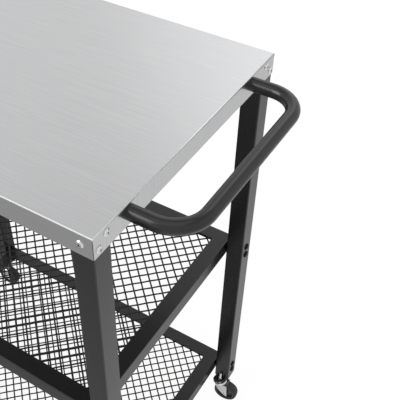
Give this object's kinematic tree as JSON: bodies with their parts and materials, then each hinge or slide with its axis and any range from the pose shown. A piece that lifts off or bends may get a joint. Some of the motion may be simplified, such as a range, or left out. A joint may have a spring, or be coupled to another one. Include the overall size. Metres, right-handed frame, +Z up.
{
  "type": "grill cart with storage",
  "caption": "Rolling worktop cart with a brushed steel top, square tube legs, mesh shelves, a side handle and swivel casters.",
  "frame": {"origin": "on the floor under the middle of the cart, handle included", "axes": "+Z up, +X towards the handle end, -Y the front long side"},
  "size_m": [0.733, 0.4348, 0.838],
  "materials": {
    "brushed_top": "brushed along the length",
    "plain_steel": "mill finish",
    "leg_paint": "satin powder coat",
    "frame_paint": "satin powder coat",
    "net_wire": "satin powder coat on wire",
    "handle_coat": "satin powder coat",
    "screw_chrome": "bright plating",
    "black_bolt": "black oxide",
    "spacer_plastic": "matt",
    "zinc": "bright zinc",
    "caster_chrome": "bright plating",
    "hub_plastic": "matt",
    "tyre_rubber": "matt"
  },
  "bodies": {
    "cart": {"top_panel": "brushed_top", "top_stiffener": "plain_steel", "leg_front_right": "leg_paint", "leg_front_left": "leg_paint", "leg_back_right": "leg_paint", "leg_back_left": "leg_paint", "caster_plates": "frame_paint", "middle_shelf_frame": "frame_paint", "bottom_shelf_frame": "frame_paint", "middle_shelf_net": "net_wire", "bottom_shelf_net": "net_wire", "handle": "handle_coat", "rim_screws": "screw_chrome", "handle_screws": "screw_chrome", "shelf_bolts": "black_bolt", "shelf_nuts": "black_bolt", "shelf_spacers": "spacer_plastic", "caster_stems": "zinc", "stem_nuts": "zinc", "caster_cups": "caster_chrome"},
    "caster_front_right": {"fork_front_right": "caster_chrome", "axle_front_right": "zinc"},
    "wheel_front_right": {"hub_front_right": "hub_plastic", "tyre_front_right": "tyre_rubber"},
    "caster_front_left": {"fork_front_left": "caster_chrome", "axle_front_left": "zinc"},
    "wheel_front_left": {"hub_front_left": "hub_plastic", "tyre_front_left": "tyre_rubber"},
    "caster_back_right": {"fork_back_right": "caster_chrome", "axle_back_right": "zinc"},
    "wheel_back_right": {"hub_back_right": "hub_plastic", "tyre_back_right": "tyre_rubber"},
    "caster_back_left": {"fork_back_left": "caster_chrome", "axle_back_left": "zinc"},
    "wheel_back_left": {"hub_back_left": "hub_plastic", "tyre_back_left": "tyre_rubber"}
  },
  "joints": [
    {"name": "swivel_front_right", "type": "hinge", "parent": "cart", "child": "caster_front_right", "pos_m": [0.2634, -0.1788, 0.05175], "axis": [0, 0, 1], "continuous": true},
    {"name": "roll_front_right", "type": "hinge", "parent": "caster_front_right", "child": "wheel_front_right", "pos_m": [0.27911, -0.17715, 0.025], "axis": [-0.1045, 0.9945, 0], "continuous": true},
    {"name": "swivel_front_left", "type": "hinge", "parent": "cart", "child": "caster_front_left", "pos_m": [-0.349, -0.1788, 0.05175], "axis": [0, 0, 1], "continuous": true},
    {"name": "roll_front_left", "type": "hinge", "parent": "caster_front_left", "child": "wheel_front_left", "pos_m": [-0.33329, -0.17715, 0.025], "axis": [-0.1045, 0.9945, 0], "continuous": true},
    {"name": "swivel_back_right", "type": "hinge", "parent": "cart", "child": "caster_back_right", "pos_m": [0.2634, 0.1788, 0.05175], "axis": [0, 0, 1], "continuous": true},
    {"name": "roll_back_right", "type": "hinge", "parent": "caster_back_right", "child": "wheel_back_right", "pos_m": [0.27911, 0.18045, 0.025], "axis": [-0.1045, 0.9945, 0], "continuous": true},
    {"name": "swivel_back_left", "type": "hinge", "parent": "cart", "child": "caster_back_left", "pos_m": [-0.349, 0.1788, 0.05175], "axis": [0, 0, 1], "continuous": true},
    {"name": "roll_back_left", "type": "hinge", "parent": "caster_back_left", "child": "wheel_back_left", "pos_m": [-0.33329, 0.18045, 0.025], "axis": [-0.1045, 0.9945, 0], "continuous": true}
  ]
}
